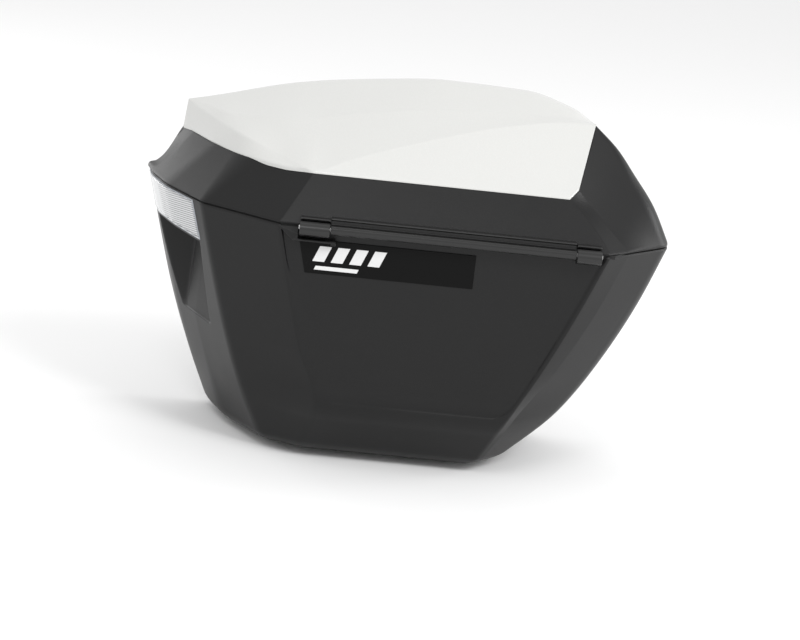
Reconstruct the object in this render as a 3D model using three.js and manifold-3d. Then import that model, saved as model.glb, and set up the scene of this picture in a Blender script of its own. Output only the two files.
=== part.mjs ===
// A rigid motorcycle side case: a tub, a hinged lid under a painted cover, and the fittings of both.
// Millimetres. X runs along the case, Y from the outer face to the bike, Z up.
// The pieces are laid out with the parting plane at z = 0 and the outer face at y = 0;
// at the end the whole group is moved so that the origin lies under the middle of the case.
import * as THREE from "three";
import { ConvexGeometry } from "three/addons/geometries/ConvexGeometry.js";
import { mergeVertices } from "three/addons/utils/BufferGeometryUtils.js";
import Module from "manifold-3d";

const wasm = await Module();
wasm.setup();

// ---- Driving dimensions ----
const BACK = 187; // the wall that faces the bike
const TUB_DEPTH = 233;
const FOOT_HEIGHT = 6;
const MIDDLE = [4.5, 97]; // x and y of the middle of the case
const GAP = 0.3; // between neighbouring pieces
const PARTING = 0.8; // half of the slot between tub and lid
const WALL = 3.2;
const RIM = 7; // the thick edge of the tub and the lid
const RIM_HEIGHT = 12;
const BOTTOM_ROUND = 12;
const CHAMFER = { top: -174, depth: 9, footDepth: 43 }; // where the outer face turns in, and its foot
const FACE_LEAN = CHAMFER.depth / -CHAMFER.top; // how far that face falls back for each millimetre down
const HINGE_Y = -6;
const HINGE_LEFT = -92;
const HINGE_RIGHT = 186;
const LEAF_LEFT = -64;
const LEAF_RIGHT = 163;
const BARREL_RADIUS = 4.5;
const PIN_RADIUS = 2;
const SMALL_PIN_RADIUS = 1.5;
const PIN_PLAY = 0.3; // between a pin and its bore
const LATCH_X = -4; // the latch, the handle and the release share this middle
const PLATE_Y = BACK + 6.4; // outer face of the mounting plate

// ---- Character lines of the outer form, each a few points along one edge ----
// The tub's lines run down from the parting plane and have an x and a y at each level.
// The two that bound the outer face have no y of their own.
const LEVELS = [0, -60, -120, CHAMFER.top, -TUB_DEPTH];
const TUB_LINES = {
  faceLeft: { x: [-112, -98, -82, -62, -78] },
  bandFront: { x: [202, 179, 151, 121, 94] },
  bandBack: { x: [214, 191, 161, 127, 98], y: [18, 19, 19, 21, 46] },
  endFront: { x: [256, 234, 206, 173, 114], y: [62, 62, 62, 62, 64] },
  endBack: { x: [250, 232, 212, 190, 162], y: [BACK, BACK, BACK, BACK, BACK] },
  leftBack: { x: [-252, -237, -221, -202, -178], y: [BACK, BACK, BACK, BACK, BACK] },
  leftFar: { x: [-246.5, -231, -215, -197, -174], y: [160, 160, 160, 160, 160] },
  leftMiddle: { x: [-229, -209, -192, -175, -153], y: [115, 115, 115, 115, 114] },
  leftFront: { x: [-188, -173, -156, -137, -111], y: [51, 50, 50, 50, 57] },
};
// The lid's lines run up from the parting plane, then along the crests of the cover.
const LID_LINES = {
  faceLeft: [[-112, 0, 0], [-85, 31, 43]],
  bandFront: [[202, 0, 0], [190, 8, 11], [170, 21.6, 30], [154, 31, 43]],
  bandBack: [[214, 18, 0], [207, 21, 6], [188, 28, 25], [162, 38, 51]],
  endTop: [[162, 38, 51], [175.5, 87.7, 104.8]],
  endFront: [[256, 62, 0], [236, 68, 36], [216.5, 76, 61], [195.5, 83, 86], [175.5, 87.7, 104.8]],
  endBack: [[250, BACK, 0], [239, BACK, 18], [222, BACK, 42], [204, BACK, 63], [180, BACK, 86]],
  leftBack: [[-252, BACK, 0], [-221, BACK, 45], [-218, 183, 71]],
  leftFar: [[-246.5, 160, 0], [-208, 160, 44.5]],
  leftMiddle: [[-229, 115, 0], [-190, 126, 44]],
  leftFront: [[-188, 51, 0], [-153, 71, 44]],
  crestLeft: [[-218, 183, 71], [-187, 132, 65], [-154, 84, 60], [-118, 57, 51], [-85, 31, 43]],
  crestFront: [[-85, 31, 43], [-52, 44, 55.5], [-16, 55, 67], [38, 68, 82.5], [90, 79, 95], [150, 87, 104]],
  crestUpper: [[-154, 84, 60], [-103, 98, 79], [-40, 100, 91], [80, 100, 102.5], [150, 101, 105]],
  ridge: [[-191, 175, 80], [-107, 167, 104], [-23, 160, 116.5], [35, 155, 122], [111, 145, 121],
    [155, 125, 112]],
  backTop: [[-180, BACK, 78], [-65, BACK, 104], [35, BACK, 114], [111, BACK, 112], [180, BACK, 86]],
};
// Plan of the painted cover, anticlockwise from the back left.
const COVER_PLAN = [
  [-219, 182], [-201, 147], [-178, 104], [-153, 71], [-122, 50], [-85, 31],
  [154, 31], [162, 38], [175.5, 87.7], [180, 182],
];

// ---- Solids ----
function solid(geometry) {
  const plain = geometry.clone();
  plain.deleteAttribute("normal");
  plain.deleteAttribute("uv");
  const merged = mergeVertices(plain, 1e-4);
  const mesh = new wasm.Mesh({
    numProp: 3,
    vertProperties: merged.attributes.position.array,
    triVerts: new Uint32Array(merged.index.array),
  });
  return new wasm.Manifold(mesh);
}

function geometryOf(made) {
  const mesh = made.getMesh();
  const geometry = new THREE.BufferGeometry();
  geometry.setAttribute("position", new THREE.BufferAttribute(new Float32Array(mesh.vertProperties), 3));
  geometry.setIndex(new THREE.BufferAttribute(new Uint32Array(mesh.triVerts), 1));
  const faceted = geometry.toNonIndexed();
  faceted.computeVertexNormals();
  return faceted;
}

function join(...solids) {
  return solids.reduce((whole, next) => whole.add(next));
}

function cut(whole, ...solids) {
  return solids.reduce((left, next) => left.subtract(next), whole);
}

function hull(points) {
  return solid(new ConvexGeometry(points.map((p) => new THREE.Vector3(...p))));
}

function box([x0, x1], [y0, y1], [z0, z1]) {
  const geometry = new THREE.BoxGeometry(x1 - x0, y1 - y0, z1 - z0);
  return solid(geometry.translate((x0 + x1) / 2, (y0 + y1) / 2, (z0 + z1) / 2));
}

// A round bar along "x", "y" or "z"; the other two coordinates of its axis are given in x, y, z order.
function rod(axis, radius, [from, to], [a, b], sides = 20) {
  const geometry = new THREE.CylinderGeometry(radius, radius, to - from, sides);
  const middle = (from + to) / 2;
  if (axis === "x") geometry.rotateZ(Math.PI / 2).translate(middle, a, b);
  if (axis === "y") geometry.translate(a, middle, b);
  if (axis === "z") geometry.rotateX(Math.PI / 2).translate(a, b, middle);
  return solid(geometry);
}

// A plane figure whose corners are rounded by the given radius.
function figure(corners, radius = 0) {
  const shape = new THREE.Shape();
  const points = corners.map((c) => new THREE.Vector2(...c));
  points.forEach((corner, i) => {
    const before = points.at(i - 1);
    const after = points[(i + 1) % points.length];
    const start = before.clone().sub(corner).setLength(radius).add(corner);
    const end = after.clone().sub(corner).setLength(radius).add(corner);
    if (i === 0) shape.moveTo(start.x, start.y);
    else shape.lineTo(start.x, start.y);
    if (radius > 0) shape.quadraticCurveTo(corner.x, corner.y, end.x, end.y);
  });
  shape.closePath();
  return shape;
}

// The two directions that a figure is drawn in, then the one that it is carried along.
const PROFILE_PLANES = {
  x: [[0, 1, 0], [0, 0, 1], [1, 0, 0]],
  y: [[1, 0, 0], [0, 0, 1], [0, -1, 0]],
  z: [[1, 0, 0], [0, 1, 0], [0, 0, 1]],
};

// A figure drawn in the plane across the axis, in x, y, z order, and carried along the axis.
function bar(axis, shape, [from, to], curveSegments = 3) {
  const settings = { depth: to - from, bevelEnabled: false, curveSegments };
  const geometry = new THREE.ExtrudeGeometry(shape, settings);
  const [u, v, w] = PROFILE_PLANES[axis].map((e) => new THREE.Vector3(...e));
  geometry.applyMatrix4(new THREE.Matrix4().makeBasis(u, v, w));
  const offset = axis === "y" ? -to : from;
  return solid(geometry.translate(...w.multiplyScalar(offset).toArray()));
}

// ---- Outer form ----
function alongLine(points, steps) {
  const curve = new THREE.CatmullRomCurve3(points.map((p) => new THREE.Vector3(...p)), false, "centripetal");
  return curve.getPoints(steps).map((p) => p.toArray());
}

// A point moved towards the middle of the case by the given depth, in plan.
const CORE = { halfX: 70, y: 112, halfY: 25 }; // nearer the middle than this, a point moves less
function inwards([x, y, z], depth) {
  const nearX = THREE.MathUtils.clamp(x / CORE.halfX, -1, 1);
  const nearY = THREE.MathUtils.clamp((y - CORE.y) / CORE.halfY, -1, 1);
  return [x - depth * nearX, y - depth * nearY, z];
}

// How far back the outer face lies at a height: it leans a little, then turns in along the chamfer.
function faceDepth(z) {
  const slope = (CHAMFER.footDepth - CHAMFER.depth) / (TUB_DEPTH + CHAMFER.top);
  return Math.max(-FACE_LEAN * z, CHAMFER.depth + slope * (CHAMFER.top - z));
}

function levelPoints({ x, y }) {
  return LEVELS.map((z, i) => [x[i], y ? y[i] : faceDepth(z), z]);
}

function tubLine(line, steps) {
  const points = alongLine(levelPoints(line), steps);
  return line.y ? points : points.map(([x, , z]) => [x, faceDepth(z), z]);
}

// The tub's lines end in a rounded bottom edge.
function roundBottom(point) {
  const depth = Math.max(0, BOTTOM_ROUND - TUB_DEPTH - point[2]);
  const inset = BOTTOM_ROUND - Math.sqrt(Math.max(0, BOTTOM_ROUND ** 2 - depth ** 2));
  return inwards(point, inset);
}

function tubForm(wall) {
  const steps = 16;
  const points = Object.values(TUB_LINES).flatMap((line) => tubLine(line, steps));
  const edgeShares = [0.35, 0.75, 0.95]; // extra levels round the bottom edge
  for (const line of Object.values(TUB_LINES)) {
    const [above, end] = levelPoints(line).slice(-2).map((p) => new THREE.Vector3(...p));
    edgeShares.forEach((share) => {
      const z = BOTTOM_ROUND * (1 - share) - TUB_DEPTH;
      points.push(above.clone().lerp(end, (z - above.z) / (end.z - above.z)).toArray());
    });
  }
  return hull(
    points.map((p) => {
      const [x, y, z] = inwards(roundBottom(p), wall);
      return [x, y, Math.max(z, wall - TUB_DEPTH)];
    }),
  );
}

function lidForm(wall) {
  const steps = 8;
  const roofStart = 40; // above this height the wall is measured from the roof too
  const points = Object.values(LID_LINES).flatMap((line) => alongLine(line, steps));
  return hull(
    points.map((p) => {
      const [x, y, z] = inwards(p, wall);
      return [x, y, z - wall * THREE.MathUtils.clamp(z / roofStart, 0, 1)];
    }),
  );
}

// Plan outline of the parting line, moved inwards by the given depth.
function partingPlan(depth) {
  const corners = Object.values(TUB_LINES).map((line) => inwards(levelPoints(line)[0], depth));
  return corners.map(([x, y]) => [x, y]);
}

const FAR = 400; // beyond every piece
const EVERYWHERE = [-FAR, FAR];
const belowParting = box(EVERYWHERE, EVERYWHERE, [-FAR, -PARTING]);
const aboveParting = box(EVERYWHERE, EVERYWHERE, [PARTING, FAR]);

// ---- The left end: a tilted frame for the reflector, its pocket and the scoop under it ----
const REFLECTOR = { length: 114, height: 31, deep: 4.5, bow: 6, tilt: -17 };

function leftEndFrame() {
  const near = new THREE.Vector3(-190.5, 58, -21);
  const far = new THREE.Vector3(-244, 176, -21);
  const along = far.clone().sub(near).normalize();
  const outward = new THREE.Vector3(-along.y, along.x, 0);
  const tilt = new THREE.Matrix4().makeRotationAxis(along, THREE.MathUtils.degToRad(REFLECTOR.tilt));
  outward.applyMatrix4(tilt);
  const up = new THREE.Vector3(0, 0, 1).applyMatrix4(tilt);
  const middle = near.clone().add(far).multiplyScalar(0.5);
  return { along, outward, up, middle, length: near.distanceTo(far) };
}

const leftEnd = leftEndFrame();

// A bowed strip on the left end: from one depth to another under the surface, rounded like the end itself.
function bowedStrip(length, height, [inner, outer]) {
  const half = length / 2;
  const arc = (depth, reverse) => {
    const points = [];
    const steps = 8;
    for (let i = 0; i <= steps; i++) {
      const u = -half + (length * i) / steps;
      points.push([u, depth + REFLECTOR.bow * (1 - (u / (leftEnd.length / 2)) ** 2)]);
    }
    return reverse ? points.reverse() : points;
  };
  const shape = figure([...arc(inner, false), ...arc(outer, true)]);
  const geometry = new THREE.ExtrudeGeometry(shape, { depth: height, bevelEnabled: false });
  geometry.translate(0, 0, -height / 2);
  const basis = new THREE.Matrix4().makeBasis(leftEnd.along, leftEnd.outward, leftEnd.up);
  if (basis.determinant() < 0) throw new Error("the left end's frame is mirrored");
  return solid(geometry.applyMatrix4(basis.setPosition(leftEnd.middle)));
}

// The three-sided scoop under the reflector: deepest at its near upper corner, and running out
// to nothing along its back edge and at its foot.
function scoop() {
  const rim = [[-186, 62, -42], [-240, 166, -42], [-213, 150, -128], [-166, 62, -126]];
  const outside = rim.map(([x, y, z]) => [x - 20, y - 10, z]);
  const floor = [[-239, 166, -43], [-173, 67, -43], [-207, 148, -127], [-165.5, 64, -127]];
  return hull([...outside, ...floor]);
}

// ---- Tub ----
const PANEL = { deep: 2.2, bottom: -172, left: [-110, -96, -80, -61], right: [192, 169, 143, 116] };

// The sunk panel on the outer face.
function panelCut() {
  const heights = [RIM, -60, -120, PANEL.bottom];
  const left = heights.map((z, i) => [PANEL.left[i], z]);
  const right = heights.map((z, i) => [PANEL.right[i], z]).reverse();
  const shape = new THREE.Shape();
  const cornerRound = 14;
  shape.moveTo(...left[0]);
  left.slice(1, 3).forEach((p) => shape.lineTo(...p));
  shape.lineTo(left[3][0] - 4, left[3][1] + cornerRound);
  shape.quadraticCurveTo(...left[3], left[3][0] + cornerRound, left[3][1]);
  shape.lineTo(right[0][0] - cornerRound, right[0][1]);
  shape.quadraticCurveTo(...right[0], right[0][0] + cornerRound / 2, right[0][1] + cornerRound);
  right.slice(1).forEach((p) => shape.lineTo(...p));
  shape.closePath();
  const sunk = bar("y", shape, [-10, PANEL.deep], 5);
  return sunk.rotate([-THREE.MathUtils.radToDeg(Math.atan(-FACE_LEAN)), 0, 0]);
}

// The tub is a hollow form with a thick rim, and thickened again behind the pocket and the scoop.
function tubShell() {
  const { length, height, deep } = REFLECTOR;
  const outside = tubForm(0).intersect(belowParting);
  const hollow = tubForm(WALL).intersect(box(EVERYWHERE, EVERYWHERE, [-FAR, -RIM_HEIGHT]));
  const mouth = bar("z", figure(partingPlan(RIM)), [-RIM_HEIGHT - 0.5, 5]);
  const pocket = bowedStrip(length + 2, height + 2, [-deep - 1, 12]);
  const pocketBack = bowedStrip(length + 10, height + 8, [-deep - 5, -2]).intersect(outside);
  const scoopBack = scoop().translate([5, 2.5, 0]).intersect(tubForm(0.5)).intersect(outside);
  const body = join(cut(outside, hollow, mouth), pocketBack, scoopBack);
  return cut(body, panelCut(), pocket, scoop(), sealGroove());
}

function ring(outerDepth, innerDepth, [from, to]) {
  return cut(
    bar("z", figure(partingPlan(outerDepth)), [from, to]),
    bar("z", figure(partingPlan(innerDepth)), [from - 1, to + 1]),
  );
}

const GROOVE = { outer: 2.2, inner: 5, floor: -3.2 };

function sealGroove() {
  return ring(GROOVE.outer, GROOVE.inner, [GROOVE.floor, 1]);
}

function rimSeal() {
  return ring(GROOVE.outer + GAP, GROOVE.inner - GAP, [GROOVE.floor + GAP, PARTING - GAP]);
}

function foot(x, y) {
  const profile = [[0, 0], [8, 0], [9.5, 1.5], [9.5, FOOT_HEIGHT - GAP], [0, FOOT_HEIGHT - GAP]];
  const points = profile.map(([r, z]) => new THREE.Vector2(r, z));
  const geometry = new THREE.LatheGeometry(points, 16).rotateX(Math.PI / 2);
  return solid(geometry).translate([x, y, -TUB_DEPTH - FOOT_HEIGHT]);
}

// ---- Lid ----
const COVER_THICK = 2.6;
const DECK_TOP = 3.4; // depth of the lid's own roof below the form
const DECK_BOTTOM = 6;

function coverZone(shrink) {
  const middle = [0, 110];
  const plan = COVER_PLAN.map(([x, y]) => [x - shrink * Math.sign(x), y - shrink * Math.sign(y - middle[1])]);
  return bar("z", figure(plan), [8, 200]);
}

function lidFrame() {
  const roofless = cut(lidForm(0), coverZone(0));
  const hollow = lidForm(DECK_BOTTOM);
  const notches = [[HINGE_LEFT - 1.5, LEAF_LEFT], [LEAF_RIGHT, HINGE_RIGHT + 1.5]].map((ends) =>
    rod("x", 9.6, ends, [HINGE_Y, 0], 24),
  );
  return cut(join(roofless, lidForm(DECK_TOP)).intersect(aboveParting), hollow, ...notches);
}

function lidCover() {
  return cut(lidForm(0).intersect(coverZone(GAP)), lidForm(COVER_THICK));
}

// ---- Hinge ----
// Clearance for a pin along x, right through the case.
function pinBore(radius, y, z) {
  return rod("x", radius + PIN_PLAY, EVERYWHERE, [y, z], 24);
}

function leaf() {
  const ends = [LEAF_LEFT + GAP, LEAF_RIGHT - GAP];
  const web = [
    [HINGE_Y - 4.2, 1], [HINGE_Y - 3.2, 5], [-5.5, 6.5], [-4.6, 8.2], [-1.4, 9],
    [2.6, 13.2], [8.4, 13.2], [-0.3, PARTING], [-3, 0],
  ];
  const body = join(rod("x", BARREL_RADIUS, ends, [HINGE_Y, 0], 24), bar("x", figure(web), ends));
  return cut(body, pinBore(PIN_RADIUS, HINGE_Y, 0));
}

function knuckle(from, to) {
  const side = [
    [-GAP, -10], [-GAP, 6], [-3, 8.6], [-7, 8.4], [-11.5, 6],
    [-14, 1], [-13.5, -4], [-9, -8.5], [-4, -10],
  ];
  return cut(bar("x", figure(side), [from, to]), pinBore(PIN_RADIUS, HINGE_Y, 0));
}

// ---- Name plate with a plain mark of four slanted bars ----
function namePlate() {
  const outline = figure([[-92, -12.5], [-84, -45], [72, -45], [72, -12.5]], 2.5);
  const plate = bar("y", outline, [1.1, PANEL.deep - GAP]);
  const mark = { left: -78, pitch: 17, wide: 11, slant: 6, low: -33, high: -18 };
  const marks = [0, 1, 2, 3].map((i) => {
    const x = mark.left + mark.pitch * i;
    const low = [[x, mark.low], [x + mark.wide, mark.low]];
    const high = [[x + mark.wide + mark.slant, mark.high], [x + mark.slant, mark.high]];
    return bar("y", figure([...low, ...high]), [0.5, 1.3]);
  });
  return join(plate, ...marks).rotate([-THREE.MathUtils.radToDeg(Math.atan(-FACE_LEAN)), 0, 0]);
}

// ---- Latch on the bike side ----
const LATCH = { half: 34, top: -8, bottom: -88, deep: 12, lockZ: -72 };
const LEVER = { half: 28, y: BACK + 16.5, z: -54, thick: 5.5 }; // y and z of its pin
const HOOK = { half: 12, y: BACK + 8, z: -22 };
const LOCK_RADIUS = 8;

// A band centred on the latch.
function aroundLatch(half) {
  return [LATCH_X - half, LATCH_X + half];
}

function latchBase() {
  const [left, right] = aroundLatch(LATCH.half);
  const { top, bottom, deep, lockZ } = LATCH;
  const outline = figure([[left, bottom], [right, bottom], [right, top], [left, top]], 6);
  const block = bar("y", outline, [BACK + GAP, BACK + deep]);
  const well = box(aroundLatch(HOOK.half + 3), [BACK + 3, BACK + 30], [-40, 5]);
  const lockBore = rod("y", LOCK_RADIUS + PIN_PLAY, [BACK + 4, BACK + 30], [LATCH_X, lockZ], 24);
  const foot = BACK + deep - 1;
  const crown = BACK + deep + 9;
  const ear = figure([
    [foot, LEVER.z - 12], [foot + 6, LEVER.z - 7], [crown, LEVER.z - 3],
    [crown, LEVER.z + 3], [foot + 6, LEVER.z + 7], [foot, LEVER.z + 12],
  ]);
  const earHalf = 2.5;
  const ears = aroundLatch(LEVER.half + 3).map((x) => bar("x", ear, [x - earHalf, x + earHalf]));
  const leverBore = pinBore(SMALL_PIN_RADIUS, LEVER.y, LEVER.z);
  const hookBore = rod("x", SMALL_PIN_RADIUS + PIN_PLAY, aroundLatch(22), [HOOK.y, HOOK.z], 16);
  return cut(join(block, ...ears), well, lockBore, leverBore, hookBore);
}

function latchLever() {
  const { y, z, thick } = LEVER;
  const inner = BACK + LATCH.deep + 0.6;
  const outer = inner + thick;
  const side = figure([
    [inner, z + 5], [inner, -4], [inner + 4, -2], [outer, -8], [outer, z + 4],
    [y + 3.1, z], [y + 1.6, z - 3], [y - 1.6, z - 3], [y - 3.1, z],
  ]);
  const plate = bar("x", side, aroundLatch(LEVER.half));
  const grip = box(aroundLatch(16), [inner + 3.4, inner + 10], [-18, -12]);
  return cut(plate, pinBore(SMALL_PIN_RADIUS, y, z), grip);
}

function latchPin() {
  return rod("x", SMALL_PIN_RADIUS, aroundLatch(34.5), [LEVER.y, LEVER.z], 16);
}

function latchHook() {
  const { y, z } = HOOK;
  const side = figure([
    [y - 3, z - 5], [y + 3, z - 5], [y + 3, 9.5], [y + 1, 12],
    [y - 0.8, 12], [y - 0.8, z + 6], [y - 3, z + 3],
  ]);
  return cut(bar("x", side, aroundLatch(HOOK.half)), pinBore(SMALL_PIN_RADIUS, y, z));
}

function hookPin() {
  return rod("x", SMALL_PIN_RADIUS, aroundLatch(20), [HOOK.y, HOOK.z], 16);
}

function striker() {
  const pad = box(aroundLatch(18), [BACK + GAP, BACK + 3.2], [2, 30]);
  const ledge = box(aroundLatch(14), [BACK + 3, BACK + 6.6], [3.6, 7.6]);
  return join(pad, ledge);
}

function lockCylinder() {
  const { lockZ } = LATCH;
  const barrel = rod("y", LOCK_RADIUS, [BACK + 4 + GAP, BACK + 14], [LATCH_X, lockZ], 24);
  const keyway = box(aroundLatch(1), [BACK + 9, BACK + 20], [lockZ - 5, lockZ + 5]);
  return cut(barrel, keyway);
}

// ---- Carry handle, folded down round the latch ----
const HANDLE = { half: 70, arm: 7, y: BACK + 8, z: -20, drop: 84, thick: 7.2 }; // y and z of its pivots

function handleBracket(side) {
  const { half, arm, y, z } = HANDLE;
  const inner = LATCH_X + side * (half + arm + 1);
  const reach = (depth) => [inner, inner + side * depth].sort((a, b) => a - b);
  const [left, right] = reach(18);
  const foot = figure([[left, z - 18], [right, z - 18], [right, z + 14], [left, z + 14]], 4);
  const lug = figure([
    [BACK + 3, z - 12], [y + 3, z - 6], [y + 4.5, z], [y + 3, z + 6], [BACK + 3, z + 12],
  ]);
  const body = join(bar("y", foot, [BACK + GAP, BACK + 4]), bar("x", lug, reach(8)));
  return cut(body, rod("x", 2.5 + PIN_PLAY, reach(30).map((x) => x - side), [y, z], 16));
}

function carryHandle() {
  const { half, arm, y, z, drop, thick } = HANDLE;
  const low = z - drop;
  const wide = aroundLatch(half + arm);
  const narrow = aroundLatch(half - arm);
  const top = z + 6;
  const outer = figure([[wide[0], top], [wide[0], low], [wide[1], low], [wide[1], top]], 6);
  const gap = figure([[narrow[0], 30], [narrow[0], low + 15], [narrow[1], low + 15], [narrow[1], 30]], 6);
  const bow = cut(bar("y", outer, [y - thick / 2, y + thick / 2], 4), bar("y", gap, [BACK, BACK + 40], 4));
  const trunnions = [-1, 1].map((side) => {
    const ends = [LATCH_X + side * (half + arm - 2), LATCH_X + side * (half + arm + 11)];
    return rod("x", 2.5, ends.sort((a, b) => a - b), [y, z], 16);
  });
  return join(bow, ...trunnions);
}

// ---- Mounting plate and its quick release ----
const MOUNT = { left: -118, right: 104, top: -124, bottom: -212 };
const SOCKET = { middles: [-78, 66], half: 16, low: -160, high: -140 };
const RELEASE = { half: 20, low: -196, high: -142, y: BACK + 9, z: -148 }; // y and z of its pin
const SCREWS = [[-104, -136], [90, -136], [-92, -200], [82, -200]];
const OUTWARD = [BACK, BACK + 30]; // through everything fixed to the back

function mountPlate() {
  const { left, right, top, bottom } = MOUNT;
  const chamfer = 12;
  const outline = figure([
    [left, bottom + chamfer], [left + 16, bottom], [right - chamfer, bottom],
    [right, bottom + chamfer], [right, top], [left, top],
  ], 5);
  const plate = bar("y", outline, [BACK + GAP, PLATE_Y]);
  const { middles, half, low, high } = SOCKET;
  const windows = middles.map((x) => box([x - half, x + half], OUTWARD, [low, high]));
  const releaseWindow = box(aroundLatch(RELEASE.half), OUTWARD, [RELEASE.low, RELEASE.high]);
  const catchSlot = box(aroundLatch(10), OUTWARD, [bottom - 8, RELEASE.low + 6]);
  const screwHoles = SCREWS.map(([x, z]) => rod("y", 2.9, OUTWARD, [x, z], 16));
  return cut(plate, ...windows, releaseWindow, catchSlot, ...screwHoles);
}

function plateScrew([x, z]) {
  const head = PLATE_Y - BACK;
  const profile = [
    [0, 0], [2.5, 0], [2.5, head - GAP], [4.8, head], [4.8, head + 1.4], [3.6, head + 2.8], [0, head + 2.8],
  ];
  const turned = solid(new THREE.LatheGeometry(profile.map((p) => new THREE.Vector2(...p)), 16));
  const cross = [[2.4, 0.5], [0.5, 2.4]].map(([w, h]) => box([-w, w], [head + 1, head + 6], [-h, h]));
  return cut(turned, ...cross).translate([x, BACK + GAP, z]);
}

function socket(middle) {
  const { half, low, high } = SOCKET;
  const rim = GAP + 0.1;
  const wall = 5;
  const block = (margin, ends) =>
    box([middle - half + margin, middle + half - margin], ends, [low + margin, high - margin]);
  return cut(block(rim, [BACK + GAP, PLATE_Y + 1.6]), block(wall, [BACK + 1.6, BACK + 30]));
}

function releaseHousing() {
  const rim = GAP + 0.1;
  const sides = aroundLatch(RELEASE.half - rim);
  const frame = box(sides, [BACK + GAP, BACK + 12], [RELEASE.low + rim, RELEASE.high - rim]);
  const well = box(aroundLatch(14), [BACK + 2, BACK + 30], [RELEASE.low - 4, RELEASE.high + 5]);
  return cut(frame, well, pinBore(SMALL_PIN_RADIUS, RELEASE.y, RELEASE.z));
}

function releasePin() {
  return rod("x", SMALL_PIN_RADIUS, aroundLatch(19), [RELEASE.y, RELEASE.z], 16);
}

function releaseLever() {
  const { y, z } = RELEASE;
  const side = figure([
    [y - 3.5, z + 3], [y + 3, z + 3], [y + 4.5, z - 4], [y + 4.5, z - 18],
    [y + 6, z - 24], [y + 3, z - 25], [y + 1, z - 8], [y - 3.5, z - 3],
  ]);
  return cut(bar("x", side, aroundLatch(13)), pinBore(SMALL_PIN_RADIUS, y, z));
}

// The catch: a wide tongue in the housing and a narrow nose through the slot in the plate.
function releaseCatch() {
  const floor = BACK + 2.6;
  const waist = RELEASE.low + 2;
  const tongue = figure([
    [floor, waist], [floor + 6.4, waist], [floor + 6.4, waist + 14],
    [floor + 3.8, waist + 18], [floor, waist + 18],
  ]);
  const nose = figure([[floor, waist - 10], [floor + 2.8, waist - 10], [floor + 4, waist], [floor, waist]]);
  return join(bar("x", tongue, aroundLatch(13)), bar("x", nose, aroundLatch(9)));
}

// ---- Materials and assembly ----
const COLOURS = {
  shell: [0x2f3033, 0.6, 0],
  frame: [0x2b2c2f, 0.55, 0],
  fitting: [0x242528, 0.5, 0],
  cover: [0xe9e8e6, 0.25, 0],
  lens: [0xdfe4ea, 0.08, 0],
  reflector: [0xf2f2f2, 0.4, 0],
  rubber: [0x141415, 0.85, 0],
  steel: [0xa9abae, 0.35, 0.9],
};
const root = new THREE.Group();
root.position.set(-MIDDLE[0], -MIDDLE[1], TUB_DEPTH + FOOT_HEIGHT);

function place(name, made, look) {
  const [color, roughness, metalness] = COLOURS[look];
  const material = new THREE.MeshStandardMaterial({ color, roughness, metalness });
  const mesh = new THREE.Mesh(geometryOf(made), material);
  mesh.name = name;
  root.add(mesh);
}

const FEET = [[-62, 84], [72, 84], [-84, 164], [88, 164]];
const backing = [-REFLECTOR.deep, -REFLECTOR.deep + 1.5];
const lens = [-REFLECTOR.deep + 1.8, 0.4];
const hingePin = rod("x", PIN_RADIUS, [HINGE_LEFT - 1, HINGE_RIGHT + 1], [HINGE_Y, 0], 24);

place("tub_shell", tubShell(), "shell");
place("rim_seal", rimSeal(), "rubber");
FEET.forEach(([x, y], i) => place(`foot_${i + 1}`, foot(x, y), "rubber"));
place("name_plate", namePlate(), "fitting");
place("reflector_housing", bowedStrip(REFLECTOR.length, REFLECTOR.height, backing), "reflector");
place("reflector_lens", bowedStrip(REFLECTOR.length, REFLECTOR.height, lens), "lens");
place("hinge_knuckle_left", knuckle(HINGE_LEFT, LEAF_LEFT - GAP), "fitting");
place("hinge_knuckle_right", knuckle(LEAF_RIGHT + GAP, HINGE_RIGHT), "fitting");
place("hinge_pin", hingePin, "steel");
place("lid_frame", lidFrame(), "frame");
place("lid_cover", lidCover(), "cover");
place("hinge_leaf", leaf(), "fitting");
place("lid_striker", striker(), "steel");
place("latch_base", latchBase(), "fitting");
place("latch_lever", latchLever(), "fitting");
place("latch_pin", latchPin(), "steel");
place("latch_hook", latchHook(), "steel");
place("hook_pin", hookPin(), "steel");
place("lock_cylinder", lockCylinder(), "steel");
place("handle_bracket_left", handleBracket(-1), "fitting");
place("handle_bracket_right", handleBracket(1), "fitting");
place("carry_handle", carryHandle(), "fitting");
place("mount_plate", mountPlate(), "fitting");
SCREWS.forEach((at, i) => place(`plate_screw_${i + 1}`, plateScrew(at), "steel"));
["left", "right"].forEach((side, i) => place(`socket_${side}`, socket(SOCKET.middles[i]), "steel"));
place("release_housing", releaseHousing(), "fitting");
place("release_pin", releasePin(), "steel");
place("release_lever", releaseLever(), "fitting");
place("release_catch", releaseCatch(), "steel");

export default root;
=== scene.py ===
"""A hard motorcycle saddlebag on a pale studio floor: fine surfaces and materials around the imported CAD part.

Lengths are in millimetres in the case's own frame (parting plane z = 0, outer face y = 0) until a mesh is
made; to_row() then turns them into metres in the row frame.
"""

import math

import bmesh
import bpy
import numpy as np
from mathutils import Matrix, Vector


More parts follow.
